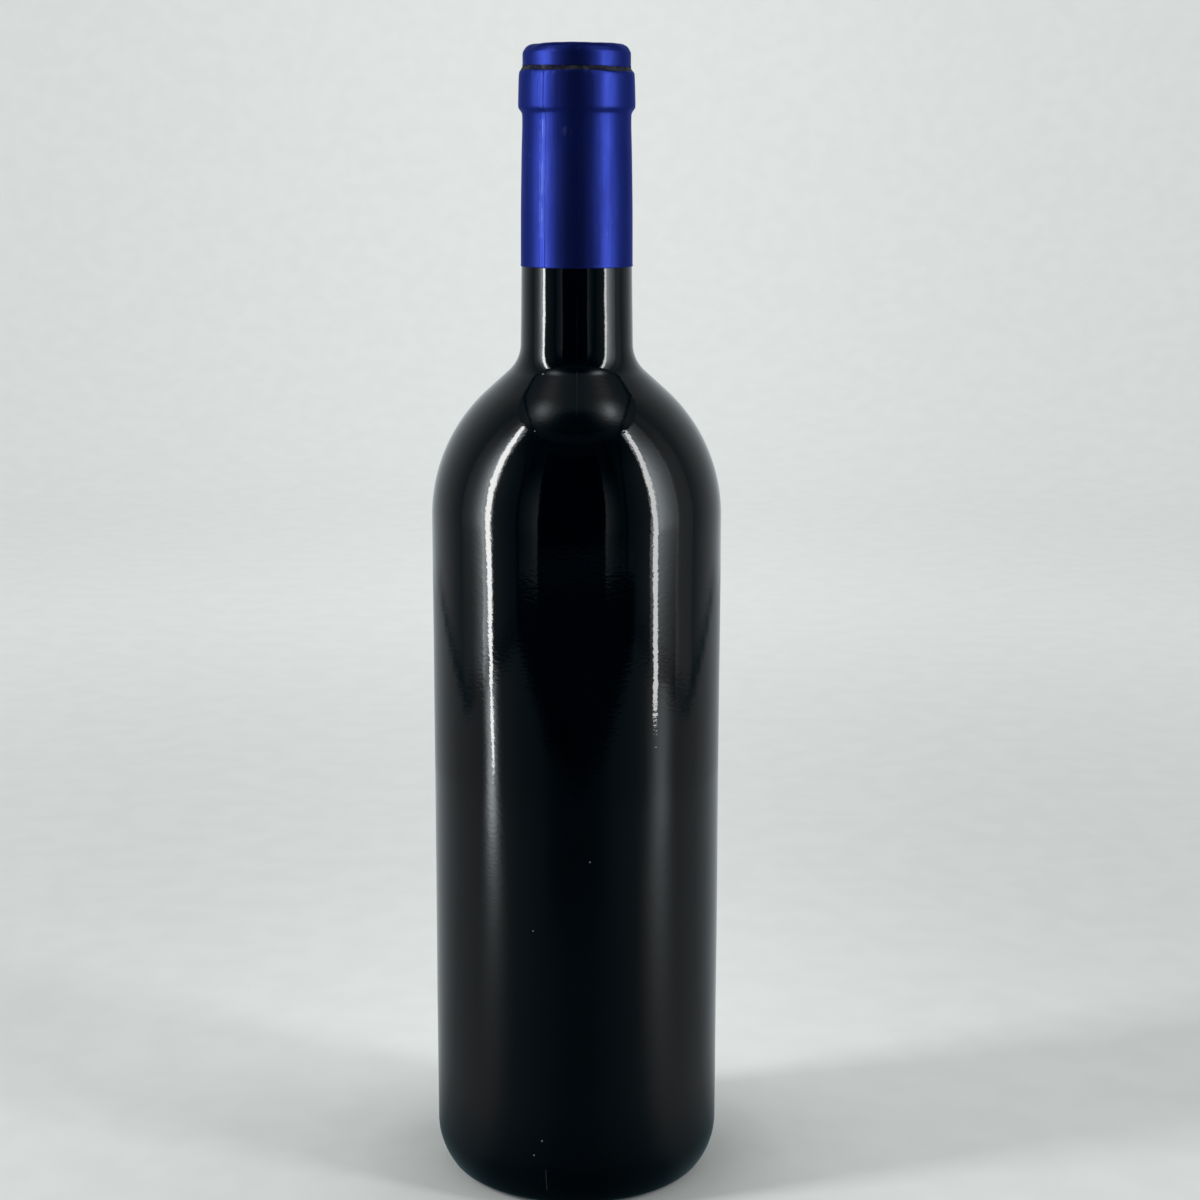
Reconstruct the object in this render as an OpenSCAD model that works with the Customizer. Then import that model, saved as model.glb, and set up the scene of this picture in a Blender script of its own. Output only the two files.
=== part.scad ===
// Wine bottle with straight sides, high shoulders and a foil capsule, standing upright.
// Millimetres. The origin is the centre of the base and +Z runs up the bottle's axis.
// Every piece is turned from a half outline, drawn with the radius along X and the height along Y.

/* [Overall] */
// Height of the standing bottle, capsule included
total_h = 300; // [250:1:380]
// Diameter of the straight body
body_d = 76; // [62:0.5:96]

/* [Base] */
// Radius of the long curve that starts the heel below the straight wall
heel_side_r = 18; // [12:0.5:24]
// Angle that the long heel curve turns through before the foot curve
heel_turn = 35; // [20:1:55]
// Radius of the tight foot curve that ends at the bearing ring
heel_foot_r = 6; // [3:0.5:9]
// Width of the flat bearing ring that the bottle stands on
bearing_w = 2.4; // [1.5:0.1:4]
// Radius of the rounded edge between the bearing ring and the punt
punt_lip_r = 1.6; // [0.5:0.1:3]
// Depth of the domed punt at its centre
punt_depth = 18; // [8:1:22]

/* [Shoulder] */
// Slope of the straight flank above the shoulder's curve, from the vertical
flank_angle = 48; // [38:1:60]
// Length of the straight flank
flank_l = 7.5; // [2:0.5:12]
// Radius of the hollow curve that runs the flank into the neck
neck_fillet_r = 9.5; // [5:0.5:16]

/* [Neck and mouth] */
// Length of the neck, from its root to the top of the bottle
neck_l = 76; // [62:1:110]
// Diameter of the neck at its root
neck_root_d = 29.2; // [28:0.1:36]
// Diameter of the neck just under the string ring
neck_top_d = 27.4; // [22:0.1:29]
// How far the string ring stands out from the neck
ring_step = 1.05; // [0.5:0.05:2.5]
// How much narrower the string ring is at its top than at its foot, on the radius
ring_taper = 0.17; // [0:0.01:0.4]
// Height of the string ring's wall
ring_h = 8.8; // [6:0.1:14]
// How far the lip stands in from the top of the string ring
lip_step = 1.02; // [0.5:0.02:2]
// Height of the lip above the string ring's bevel
lip_h = 6.2; // [4.5:0.1:10]
// Radius that rounds the lip's top edge
lip_round_r = 2.7; // [1:0.1:3.4]

/* [Capsule] */
// Length of the capsule, from its top to its lower edge
capsule_l = 56; // [40:1:70]
// Thickness of the foil
foil_t = 0.2; // [0.1:0.05:0.4]
// Clearance between the foil and the glass
foil_gap = 0.03; // [0.01:0.01:0.1]
// Depth of the crimp band's upper edge below the capsule's top
crimp_drop = 5.6; // [4.5:0.1:7]
// Height of the crimp band where the capsule's top meets its skirt
crimp_h = 1.4; // [0.8:0.1:2.4]

/* [Hidden] */
$fn = 120;
// Largest turn between two neighbouring points of a curve in an outline
curve_step = 3;
// How far the foil's uppermost slice reaches past the top of the bottle
slice_past = 1;

body_r = body_d / 2;
foil_out = foil_gap + foil_t;

// Heel: the foot curve rises from the bearing ring, and the long curve carries on from it to the wall
heel_reach = heel_side_r - heel_foot_r;
heel_foot_c = [body_r - heel_side_r + heel_reach * cos(heel_turn), heel_foot_r];
heel_side_c = [body_r - heel_side_r, heel_foot_r + heel_reach * sin(heel_turn)];

// Punt: a dome that meets the rounded inner edge of the bearing ring without a corner
ring_in_r = heel_foot_c[0] - bearing_w;
punt_lip_c = [ring_in_r, punt_lip_r];
lip_reach = (ring_in_r * ring_in_r + punt_depth * punt_depth) / (2 * punt_depth);
punt_r = lip_reach - punt_lip_r;
punt_c = [0, punt_depth - punt_r];
punt_rim_angle = atan2(punt_lip_c[1] - punt_c[1], ring_in_r);

// Mouth, worked down from the top of the glass
glass_top_z = total_h - foil_out;
lip_low_z = glass_top_z - lip_h;
ring_top_z = lip_low_z - lip_step;
ring_low_z = ring_top_z - ring_h;
neck_top_z = ring_low_z - ring_step;
neck_top_r = neck_top_d / 2;
ring_low_r = neck_top_r + ring_step;
ring_top_r = ring_low_r - ring_taper;
lip_r = ring_top_r - lip_step;

// Neck's root, hollow fillet, flank and shoulder, worked down from the neck
neck_root_z = total_h - neck_l;
neck_root_r = neck_root_d / 2;
neck_draft = atan((neck_root_r - neck_top_r) / (neck_top_z - neck_root_z));
fillet_c = along([neck_root_r, neck_root_z], neck_fillet_r, neck_draft);
flank_top = along(fillet_c, -neck_fillet_r, flank_angle);
flank_low = flank_top + flank_l * [sin(flank_angle), -cos(flank_angle)];
shoulder_r = (body_r - flank_low[0]) / (1 - cos(flank_angle));
shoulder_c = along(flank_low, -shoulder_r, flank_angle);

// Heights at which the capsule's foil is divided
crimp_top_z = total_h - crimp_drop;
crimp_low_z = crimp_top_z - crimp_h;
skirt_low_z = total_h - capsule_l;

// The point that lies a distance from p in the direction of an angle above the horizontal
function along(p, distance, angle) = p + distance * [cos(angle), sin(angle)];

// Points of an arc about c, from one angle to another, without its first point where skip is 1
function arc(c, r, from, to, skip = 0) =
    let (turns = ceil(abs(to - from) / curve_step))
    [for (i = [skip:turns]) along(c, r, from + (to - from) * i / turns)];

// Underside: from the top of the punt's dome over the rounded edge to the bearing ring
function base_line() = concat(
    arc(punt_c, punt_r, 90, punt_rim_angle),
    arc(punt_lip_c, punt_lip_r, punt_rim_angle + 180, 270, skip = 1)
);

// Side: from the bearing ring over the heel, wall, shoulder and flank up to the neck's root
function side_line() = concat(
    arc(heel_foot_c, heel_foot_r, -90, -heel_turn),
    arc(heel_side_c, heel_side_r, -heel_turn, 0, skip = 1),
    arc(shoulder_c, shoulder_r, 0, flank_angle),
    arc(fillet_c, neck_fillet_r, flank_angle + 180, neck_draft + 180)
);

// Mouth: neck, string ring and lip up to the axis, with every face moved outwards by grow
function mouth_line(grow = 0) =
    let (corner = grow * tan(22.5))
    concat(
        [
            [neck_top_r + grow, neck_top_z - corner],
            [ring_low_r + grow, ring_low_z - corner],
            [ring_top_r + grow, ring_top_z + corner],
            [lip_r + grow, lip_low_z + corner]
        ],
        arc([lip_r - lip_round_r, glass_top_z - lip_round_r], lip_round_r + grow, 0, 90),
        [[0, glass_top_z + grow]]
    );

// Everything inside the neck and mouth, with every face moved outwards by grow
module mouth_half(grow) {
    polygon(concat([[0, neck_root_z], [neck_root_r + grow, neck_root_z]], mouth_line(grow)));
}

// Foil between two heights, wrapped over the mouth and neck at its clearance
module foil(z_low, z_high) {
    rotate_extrude() intersection() {
        difference() {
            mouth_half(foil_out);
            mouth_half(foil_gap);
        }
        translate([0, z_low]) square([body_r, z_high - z_low]);
    }
}

// Filled bottle, solid because nothing inside it can be seen
module bottle_glass() {
    color([0.02, 0.035, 0.035]) rotate_extrude()
        polygon(concat(base_line(), side_line(), mouth_line()));
}

// Skirt of the capsule, from its cut edge on the neck up over the string ring
module capsule_skirt() {
    color([0.12, 0.15, 0.62]) foil(skirt_low_z, crimp_low_z);
}

// Dark crimped band that joins the skirt to the top
module crimp_band() {
    color([0.15, 0.15, 0.18]) foil(crimp_low_z, crimp_top_z);
}

// Top of the capsule: the disc over the mouth with its turned-down rim
module capsule_top() {
    color([0.1, 0.12, 0.55]) foil(crimp_top_z, total_h + slice_past);
}

bottle_glass();
capsule_skirt();
crimp_band();
capsule_top();
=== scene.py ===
"""Wine bottle with straight sides, high shoulders and a satin blue foil capsule.

Each visible piece is turned about the bottle's axis, dressed in its own finish and hung on the
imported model. Lengths are metres and angles are degrees; azimuth 0 faces the front and grows
towards the right-hand side.
"""

import logging
import math
from dataclasses import dataclass, field
from enum import Enum
from typing import Callable

import bpy
import numpy as np
from mathutils import Euler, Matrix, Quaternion, Vector


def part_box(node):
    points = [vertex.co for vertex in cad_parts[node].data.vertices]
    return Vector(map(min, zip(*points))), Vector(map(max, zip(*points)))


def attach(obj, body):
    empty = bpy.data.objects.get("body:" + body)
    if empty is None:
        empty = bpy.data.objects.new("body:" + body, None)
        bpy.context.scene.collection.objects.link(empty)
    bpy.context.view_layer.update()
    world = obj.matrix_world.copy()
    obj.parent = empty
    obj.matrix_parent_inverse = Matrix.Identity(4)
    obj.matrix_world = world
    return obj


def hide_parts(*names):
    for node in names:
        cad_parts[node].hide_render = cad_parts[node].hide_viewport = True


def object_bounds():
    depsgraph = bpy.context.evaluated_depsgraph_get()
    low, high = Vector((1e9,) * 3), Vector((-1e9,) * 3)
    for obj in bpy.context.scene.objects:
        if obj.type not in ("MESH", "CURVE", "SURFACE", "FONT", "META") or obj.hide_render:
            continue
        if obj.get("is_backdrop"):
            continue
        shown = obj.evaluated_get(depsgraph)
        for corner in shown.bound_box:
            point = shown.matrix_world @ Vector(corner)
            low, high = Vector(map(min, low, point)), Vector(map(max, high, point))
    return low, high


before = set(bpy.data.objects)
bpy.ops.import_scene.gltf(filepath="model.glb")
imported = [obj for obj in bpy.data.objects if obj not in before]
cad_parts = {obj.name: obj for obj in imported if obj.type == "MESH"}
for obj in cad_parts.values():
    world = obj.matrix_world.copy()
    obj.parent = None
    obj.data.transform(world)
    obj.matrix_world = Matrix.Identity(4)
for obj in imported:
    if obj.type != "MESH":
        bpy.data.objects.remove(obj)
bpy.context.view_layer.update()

MM = 0.001
LOG = logging.getLogger("wine_bottle")

# Phase that turns a cosine into a sine, and one whole turn
QUARTER = math.pi / 2
WHOLE = math.pi * 2
# Points of an outline that lie nearer than this are one point
SAME_POINT = 0.002 * MM
PAPER_LOW = (0.475, 0.495, 0.49, 1.0)
PAPER_HIGH = (0.495, 0.515, 0.51, 1.0)
PAPER_LIGHT = (0.99, 1.0, 0.995, 1.0)

Socket = bpy.types.NodeSocket
Colour = tuple[float, float, float, float]
Knots = tuple[tuple[float, float], ...]
Measure = Callable[["Places"], np.ndarray]


class Slot(Enum):
    """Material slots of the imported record."""

    GLASS = "dark_glass"
    FOIL = "blue_foil"
    CRIMP = "crimp_edge"


class Rays(Enum):
    """Which rays meet a piece of the studio."""

    SEEN_AND_LIT = "seen_and_lit"
    MIRRORED_ONLY = "mirrored_only"


# ---- outlines


def along(point: np.ndarray, distance: float, angle: float) -> np.ndarray:
    """Step from a point of an outline in the direction of an angle.

    Args:
        point: Radius and height to start from.
        distance: Length of the step.
        angle: Direction above the horizontal, in degrees.

    Returns:
        Radius and height of the end point.
    """
    turn = math.radians(angle)
    return np.asarray(point) + distance * np.array([math.cos(turn), math.sin(turn)])


def arc(centre: np.ndarray, radius: float, start: float, end: float, step: float) -> np.ndarray:
    """Draw an arc of an outline.

    Args:
        centre: Radius and height of the arc's centre.
        radius: Radius of the arc.
        start: Angle of the first point, in degrees.
        end: Angle of the last point, in degrees.
        step: Largest turn between two points, in degrees.

    Returns:
        Points of the arc, one row each.
    """
    count = max(2, math.ceil(abs(end - start) / step) + 1)
    return np.array([along(centre, radius, angle) for angle in np.linspace(start, end, count)])


def straight(start: np.ndarray, end: np.ndarray, step: float) -> np.ndarray:
    """Draw a straight stretch of an outline.

    Args:
        start: Radius and height of the first point.
        end: Radius and height of the last point.
        step: Largest distance between two points.

    Returns:
        Points of the stretch, one row each.
    """
    length = float(np.linalg.norm(np.asarray(end) - np.asarray(start)))
    count = max(2, math.ceil(length / step) + 1)
    return np.linspace(start, end, count)


def flowing(knots: np.ndarray, step: float) -> np.ndarray:
    """Draw a smooth line through knots, as a bent strip of foil would lie.

    Args:
        knots: Radius and height of each knot, one row each.
        step: Largest distance between two points.

    Returns:
        Points of the line, one row each.
    """
    knots = np.asarray(knots, float)
    padded = np.vstack([2 * knots[0] - knots[1], knots, 2 * knots[-1] - knots[-2]])
    points = [knots[0]]
    for before, here, there, after in zip(padded, padded[1:], padded[2:], padded[3:]):
        length = np.linalg.norm(there - here)
        leave = (there - before) * length / max(np.linalg.norm(there - before), 1e-9)
        arrive = (after - here) * length / max(np.linalg.norm(after - here), 1e-9)
        for t in np.linspace(0, 1, max(2, math.ceil(length / step) + 1))[1:]:
            rise, hold = 3 * t**2 - 2 * t**3, t**3 - 2 * t**2 + t
            points.append(
                (1 - rise) * here + hold * leave + rise * there + (t**3 - t**2) * arrive
            )
    return np.array(points)


def joined(*stretches: np.ndarray) -> np.ndarray:
    """Join stretches of an outline, without the points that two of them share.

    Args:
        stretches: Points of each stretch, in order.

    Returns:
        Points of the whole outline, one row each.
    """
    points = np.vstack(stretches)
    apart = np.linalg.norm(np.diff(points, axis=0), axis=1) > SAME_POINT
    return points[np.concatenate([[True], apart])]


def rising(value: np.ndarray, low: float, high: float) -> np.ndarray:
    """Blend from 0 at one value to 1 at another without a corner.

    Args:
        value: Values to blend by.
        low: Value where the blend is 0.
        high: Value where the blend is 1.

    Returns:
        Blend of each value, from 0 to 1.
    """
    t = np.clip((value - low) / (high - low), 0.0, 1.0)
    return t * t * (3 - 2 * t)


def bell(value: np.ndarray, centre: float, width: float) -> np.ndarray:
    """Give a rounded bump that is 1 at its centre and fades out over its width."""
    return np.exp(-(((value - centre) / width) ** 2))


def turned(azimuth: np.ndarray, centre: float) -> np.ndarray:
    """Give how far each azimuth lies from a centre, from -180 to 180 degrees."""
    return (azimuth - centre + 180) % 360 - 180


def falloff(value: np.ndarray, knots: Knots) -> np.ndarray:
    """Follow straight lines from knot to knot, each a value and its result."""
    return np.interp(value, *zip(*knots))


def on_wall(azimuth: float, radius: float, height: float) -> tuple[float, float, float]:
    """Give the point at an azimuth, a radius and a height."""
    turn = math.radians(azimuth)
    return (radius * math.sin(turn), -radius * math.cos(turn), height)


@dataclass(frozen=True)
class Places:
    """Points of a surface: their azimuths in degrees, radii and heights."""

    azimuth: np.ndarray
    radius: np.ndarray
    height: np.ndarray

    def flat(self) -> tuple[np.ndarray, np.ndarray]:
        """Give how far each point lies to the right of the axis and how far behind it."""
        turn = np.radians(self.azimuth)
        return self.radius * np.sin(turn), -self.radius * np.cos(turn)

    def points(self) -> list[tuple[float, float, float]]:
        """List the points, row after row."""
        return list(map(tuple, np.stack([*self.flat(), self.height], axis=-1).reshape(-1, 3)))


@dataclass(frozen=True)
class Wave:
    """One wave of a surface that runs round the bottle and climbs it.

    The size is in millimetres, the climb in radians for each millimetre of height and the start
    in radians.
    """

    size: float
    turns: int
    climb: float = 0.0
    start: float = 0.0

    def out(self, at: Places) -> np.ndarray:
        """Give how far the wave stands out at each point."""
        angle = self.turns * np.radians(at.azimuth) + self.climb * at.height / MM
        return self.size * MM * np.cos(angle + self.start)


def waving(waves: tuple[Wave, ...], at: Places) -> np.ndarray:
    """Add up waves at each point."""
    return sum(wave.out(at) for wave in waves)


def new_piece(name: str, points: list, faces: list, smooth: bool = True) -> bpy.types.Object:
    """Make a mesh object and put it in the scene.

    Args:
        name: Name of the object.
        points: Place of each vertex.
        faces: Vertex numbers of each face.
        smooth: True to shade it smooth.

    Returns:
        The new object.
    """
    mesh = bpy.data.meshes.new(name)
    mesh.from_pydata(points, [], faces)
    mesh.polygons.foreach_set("use_smooth", [smooth] * len(mesh.polygons))
    mesh.update()
    piece = bpy.data.objects.new(name, mesh)
    bpy.context.scene.collection.objects.link(piece)
    return piece


# ---- turning


@dataclass(frozen=True)
class Section:
    """Half section of a piece: its points, and the way out of the surface at each of them."""

    points: np.ndarray
    out: np.ndarray
    closed: bool = False

    @staticmethod
    def ways(line: np.ndarray) -> np.ndarray:
        """Give the direction to the right of a line at each of its points.

        Args:
            line: Points of the line.

        Returns:
            Directions of length 1, one row each.
        """
        tangent = np.gradient(line, axis=0)
        tangent /= np.maximum(np.linalg.norm(tangent, axis=1, keepdims=True), 1e-12)
        return np.stack([tangent[:, 1], -tangent[:, 0]], axis=1)

    @classmethod
    def solid(cls, line: np.ndarray) -> "Section":
        """Make the section of a solid from an outline that starts and ends on the axis."""
        return cls(line, cls.ways(line))

    @classmethod
    def foil(cls, line: np.ndarray, thickness: float) -> "Section":
        """Make the section of a foil from its outer line.

        Args:
            line: Outer line, from its low end upwards. It may end on the axis.
            thickness: Thickness of the foil.

        Returns:
            Section whose two faces move together.
        """
        out = cls.ways(line)
        inside = line - out * thickness
        closed = line[-1, 0] > 0.1 * MM
        if closed:
            return cls(np.vstack([line, inside[::-1]]), np.vstack([out, out[::-1]]), True)
        inside[-1, 0] = 0.0
        return cls(np.vstack([inside[::-1], line]), np.vstack([out[::-1], out]))


@dataclass
class Lathe:
    """Turns outlines into meshes about the bottle's axis.

    The columns stand closer together near the azimuths in fine_at, where seams need them.
    """

    columns: int = 240
    fine_at: tuple[float, ...] = ()
    fine_reach: float = 1.0
    fine_step: float = 0.2

    def azimuths(self) -> np.ndarray:
        """Lay out the columns round the axis.

        Returns:
            Azimuths in degrees, rising, with no two nearly alike.
        """
        angles = list(np.arange(self.columns) * 360.0 / self.columns - 180.0)
        for centre in self.fine_at:
            reach = np.arange(-self.fine_reach, self.fine_reach + 1e-6, self.fine_step)
            angles = [a for a in angles if abs(turned(a, centre)) > self.fine_reach]
            angles += list(turned(centre + reach, 0.0))
        return np.unique(np.round(angles, 4))

    def turn(
        self,
        name: str,
        section: Section,
        proud: Measure,
        lift: Measure | None = None,
    ) -> bpy.types.Object:
        """Turn a section into a mesh object.

        Args:
            name: Name of the new piece.
            section: Section to turn.
            proud: Gives how far each point stands out from the surface.
            lift: Gives how far each point moves up.

        Returns:
            The new piece, shaded smooth.
        """
        azimuth = self.azimuths()
        closed, outline = section.closed, section.points
        inner = slice(None) if closed else slice(1, -1)
        body, normal = outline[inner], section.out[inner]
        angle, height = np.meshgrid(azimuth, body[:, 1])
        at = Places(angle, np.broadcast_to(body[:, :1], angle.shape), height)
        out = proud(at)
        up = lift(at) if lift else 0.0
        z = height + normal[:, 1:] * out + up
        vertices = Places(angle, body[:, :1] + normal[:, :1] * out, z).points()
        count, wide = len(body), len(azimuth)
        faces = []
        for row in range(count if closed else count - 1):
            low, high = row * wide, ((row + 1) % count) * wide
            for column in range(wide):
                after = (column + 1) % wide
                faces.append((low + column, low + after, high + after, high + column))
        if not closed:
            first, last = len(vertices), len(vertices) + 1
            vertices += [(0.0, 0.0, float(outline[0, 1])), (0.0, 0.0, float(outline[-1, 1]))]
            top = (count - 1) * wide
            for column in range(wide):
                after = (column + 1) % wide
                faces.append((first, after, column))
                faces.append((last, top + column, top + after))
        return new_piece(name, vertices, faces)


# ---- finishes


@dataclass(frozen=True)
class Speck:
    """One small round mark on the surface."""

    azimuth: float
    radius: float
    height: float
    size: float


class Bench:
    """Node table of one material, with short calls that place and join its nodes."""

    def __init__(self, name: str) -> None:
        """Start a material with nothing but its output.

        Args:
            name: Name of the material.
        """
        self.material = bpy.data.materials.new(name)
        self.material.use_nodes = True
        self.tree = self.material.node_tree
        self.tree.nodes.clear()
        self.place = self.node("ShaderNodeTexCoord").outputs["Object"]

    def node(self, kind: str, **settings: object) -> bpy.types.Node:
        """Place a node and set its options.

        Args:
            kind: Type name of the node.
            settings: Options of the node.

        Returns:
            The new node.
        """
        made = self.tree.nodes.new(kind)
        for name, value in settings.items():
            setattr(made, name, value)
        return made

    def feed(self, socket: Socket, value: object) -> None:
        """Join a socket to another one, or set its value.

        Args:
            socket: Socket to feed.
            value: Socket or plain value to feed it with.
        """
        if isinstance(value, bpy.types.NodeSocket):
            self.tree.links.new(value, socket)
        else:
            socket.default_value = value

    def sum(self, operation: str, *values: object) -> Socket:
        """Place a Math node.

        Args:
            operation: Name of the operation.
            values: Sockets or numbers to work on.

        Returns:
            The result's socket.
        """
        made = self.node("ShaderNodeMath", operation=operation)
        for socket, value in zip(made.inputs, values):
            self.feed(socket, value)
        return made.outputs[0]

    def noise(
        self,
        scale: tuple[float, float, float],
        shift: float = 0.0,
        detail: float = 2.0,
        rough: float = 0.5,
    ) -> Socket:
        """Place a noise pattern.

        Args:
            scale: Grains for each metre along each axis.
            shift: Move that gives a pattern of its own.
            detail: Number of finer layers.
            rough: Weight of the finer layers.

        Returns:
            Socket of the pattern's value, between 0 and 1.
        """
        where = self.node("ShaderNodeMapping")
        self.feed(where.inputs["Vector"], self.place)
        where.inputs["Scale"].default_value = scale
        where.inputs["Location"].default_value = (shift, shift * 0.7, shift * 1.3)
        made = self.node("ShaderNodeTexNoise")
        self.feed(made.inputs["Vector"], where.outputs[0])
        made.inputs["Scale"].default_value = 1.0
        made.inputs["Detail"].default_value = detail
        made.inputs["Roughness"].default_value = rough
        return made.outputs["Fac"]

    def spread(self, value: Socket, low: float, high: float, start: float, end: float) -> Socket:
        """Map a value from one span to another, smoothly and held at both ends.

        Args:
            value: Value to map.
            low: Value that gives start.
            high: Value that gives end.
            start: Result at low.
            end: Result at high.

        Returns:
            The result's socket.
        """
        made = self.node("ShaderNodeMapRange", interpolation_type="SMOOTHSTEP")
        for socket, number in zip(made.inputs, (value, low, high, start, end)):
            self.feed(socket, number)
        return made.outputs[0]

    def times(self, first: object, second: object) -> Socket:
        """Multiply two values."""
        return self.sum("MULTIPLY", first, second)

    def blend(self, share: object, first: object, second: object) -> Socket:
        """Mix two colours.

        Args:
            share: Share of the second colour.
            first: Colour at share 0.
            second: Colour at share 1.

        Returns:
            The result's socket.
        """
        made = self.node("ShaderNodeMix", data_type="RGBA")
        colours = [socket for socket in made.inputs if socket.type == "RGBA"]
        self.feed(made.inputs[0], share)
        for socket, value in zip(colours, (first, second)):
            self.feed(socket, value)
        return next(socket for socket in made.outputs if socket.type == "RGBA")

    def near(self, speck: Speck) -> Socket:
        """Give 1 on a speck, fading to 0 at its edge.

        Args:
            speck: Place and size of the speck.

        Returns:
            The result's socket.
        """
        made = self.node("ShaderNodeVectorMath", operation="DISTANCE")
        self.feed(made.inputs[0], self.place)
        made.inputs[1].default_value = on_wall(speck.azimuth, speck.radius, speck.height)
        return self.spread(made.outputs["Value"], speck.size * 0.6, speck.size, 1.0, 0.0)

    def along_line(self, azimuth: float, half: float, low: float, high: float) -> Socket:
        """Give 1 on an upright line of the surface and 0 beside it and beyond its ends.

        Args:
            azimuth: Azimuth of the line, in degrees.
            half: Half width of the line, in degrees.
            low: Height of the line's low end.
            high: Height of the line's high end.

        Returns:
            The result's socket.
        """
        apart = self.node("ShaderNodeSeparateXYZ")
        self.feed(apart.inputs[0], self.place)
        front = self.times(apart.outputs[1], -1.0)
        turn = self.sum("ARCTAN2", apart.outputs[0], front)
        off = self.sum("ABSOLUTE", self.sum("SUBTRACT", turn, math.radians(azimuth)))
        reach = math.radians(half)
        line = self.spread(off, reach * 0.5, reach, 1.0, 0.0)
        line = self.times(line, self.spread(apart.outputs[2], low, low + MM, 0.0, 1.0))
        return self.times(line, self.spread(apart.outputs[2], high - MM, high, 1.0, 0.0))

    def relief(self, height: Socket, depth: float) -> Socket:
        """Turn a height between 0 and 1 into a bumped normal.

        Args:
            height: Socket of the height.
            depth: Real depth of the bumps.

        Returns:
            Socket of the normal.
        """
        made = self.node("ShaderNodeBump")
        made.inputs["Strength"].default_value = 1.0
        made.inputs["Distance"].default_value = depth
        self.feed(made.inputs["Height"], height)
        return made.outputs[0]

    def shade(self, **values: object) -> bpy.types.Material:
        """Place the shader, feed it and join it to the output."""
        return self.finish(self.shader(**values))

    def shader(self, **values: object) -> Socket:
        """Place the shader and feed it.

        Args:
            values: Shader inputs, named with underscores for spaces.

        Returns:
            The shader's socket.
        """
        made = self.node("ShaderNodeBsdfPrincipled")
        for name, value in values.items():
            self.feed(made.inputs[name.replace("_", " ")], value)
        return made.outputs[0]

    def finish(self, surface: Socket, sampling: str = "AUTO") -> bpy.types.Material:
        """Join a surface to the output.

        Args:
            surface: Shader that makes the surface.
            sampling: How the surface's own light is sampled.

        Returns:
            The finished material.
        """
        output = self.node("ShaderNodeOutputMaterial")
        self.feed(output.inputs["Surface"], surface)
        self.material.cycles.emission_sampling = sampling
        return self.material


@dataclass(frozen=True)
class DarkGlass:
    """Near-black green glass with the wine behind it, blown slightly uneven.

    The scratch near the foot is given by its azimuth, half width and low and high end.
    """

    tint: Colour = (0.0001, 0.0006, 0.0016, 1.0)
    deep_tint: Colour = (0.0000, 0.0002, 0.0009, 1.0)
    dust_colour: Colour = (0.10, 0.105, 0.11, 1.0)
    dust_cells: float = 130.0
    refraction: float = 1.52
    polish: float = 0.03
    ripple_depth: float = 0.013 * MM
    peel_depth: float = 0.008 * MM
    scratch: tuple[float, float, float, float] = (-12.3, 0.22, 5.0 * MM, 12.6 * MM)
    scratch_share: float = 0.2
    specks: tuple[Speck, ...] = (
        Speck(5.0, 38.0 * MM, 95.6 * MM, 0.28 * MM),
        Speck(-17.2, 38.0 * MM, 76.8 * MM, 0.26 * MM),
        Speck(-13.8, 38.0 * MM, 19.9 * MM, 0.32 * MM),
        Speck(-17.1, 38.0 * MM, 15.7 * MM, 0.30 * MM),
        Speck(-29.8, 17.3 * MM, 217.5 * MM, 0.34 * MM),
        Speck(-20.5, 29.9 * MM, 204.4 * MM, 0.26 * MM),
        Speck(-77.0, 16.0 * MM, 219.4 * MM, 0.30 * MM),
        Speck(148.0, 38.0 * MM, 121.0 * MM, 0.26 * MM),
        Speck(96.0, 38.0 * MM, 58.0 * MM, 0.24 * MM),
    )

    def material(self) -> bpy.types.Material:
        """Mix the glass.

        Returns:
            The finished material.
        """
        bench = Bench("dark_glass")
        cloud = bench.noise((28.0, 28.0, 17.0), 0.0, 3.0)
        tint = bench.blend(bench.spread(cloud, 0.35, 0.7, 0.0, 1.0), self.tint, self.deep_tint)
        dust = self.dust(bench)
        colour = bench.blend(dust, tint, self.dust_colour)
        smear = bench.noise((60.0, 60.0, 24.0), 3.1, 4.0, 0.6)
        haze = bench.spread(smear, 0.42, 0.75, self.polish, self.polish * 2.2)
        rough = bench.sum("MAXIMUM", haze, bench.times(dust, 0.7))
        ripple = bench.noise((700.0, 700.0, 1300.0), 1.7, 2.0)
        peel = bench.noise((170.0, 170.0, 230.0), 5.3, 1.0)
        ratio = self.peel_depth / self.ripple_depth
        height = bench.sum("MULTIPLY_ADD", peel, ratio, ripple)
        return bench.shade(
            Base_Color=colour,
            Roughness=rough,
            IOR=self.refraction,
            Normal=bench.relief(height, self.ripple_depth),
        )

    def dust(self, bench: Bench) -> Socket:
        """Scatter fine dust over the glass and set down the single grains.

        Args:
            bench: Node table of the glass.

        Returns:
            Socket that is 1 on a grain and 0 on clean glass.
        """
        cells = bench.node("ShaderNodeTexVoronoi", feature="F1")
        bench.feed(cells.inputs["Vector"], bench.place)
        cells.inputs["Scale"].default_value = self.dust_cells
        lucky = bench.spread(cells.outputs["Color"], 0.86, 0.9, 0.0, 0.35)
        grain = bench.spread(cells.outputs["Distance"], 0.010, 0.022, 1.0, 0.0)
        found = bench.times(lucky, grain)
        for speck in self.specks:
            found = bench.sum("MAXIMUM", found, bench.near(speck))
        scratch = bench.along_line(*self.scratch)
        return bench.sum("MAXIMUM", found, bench.times(scratch, self.scratch_share))


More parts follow.
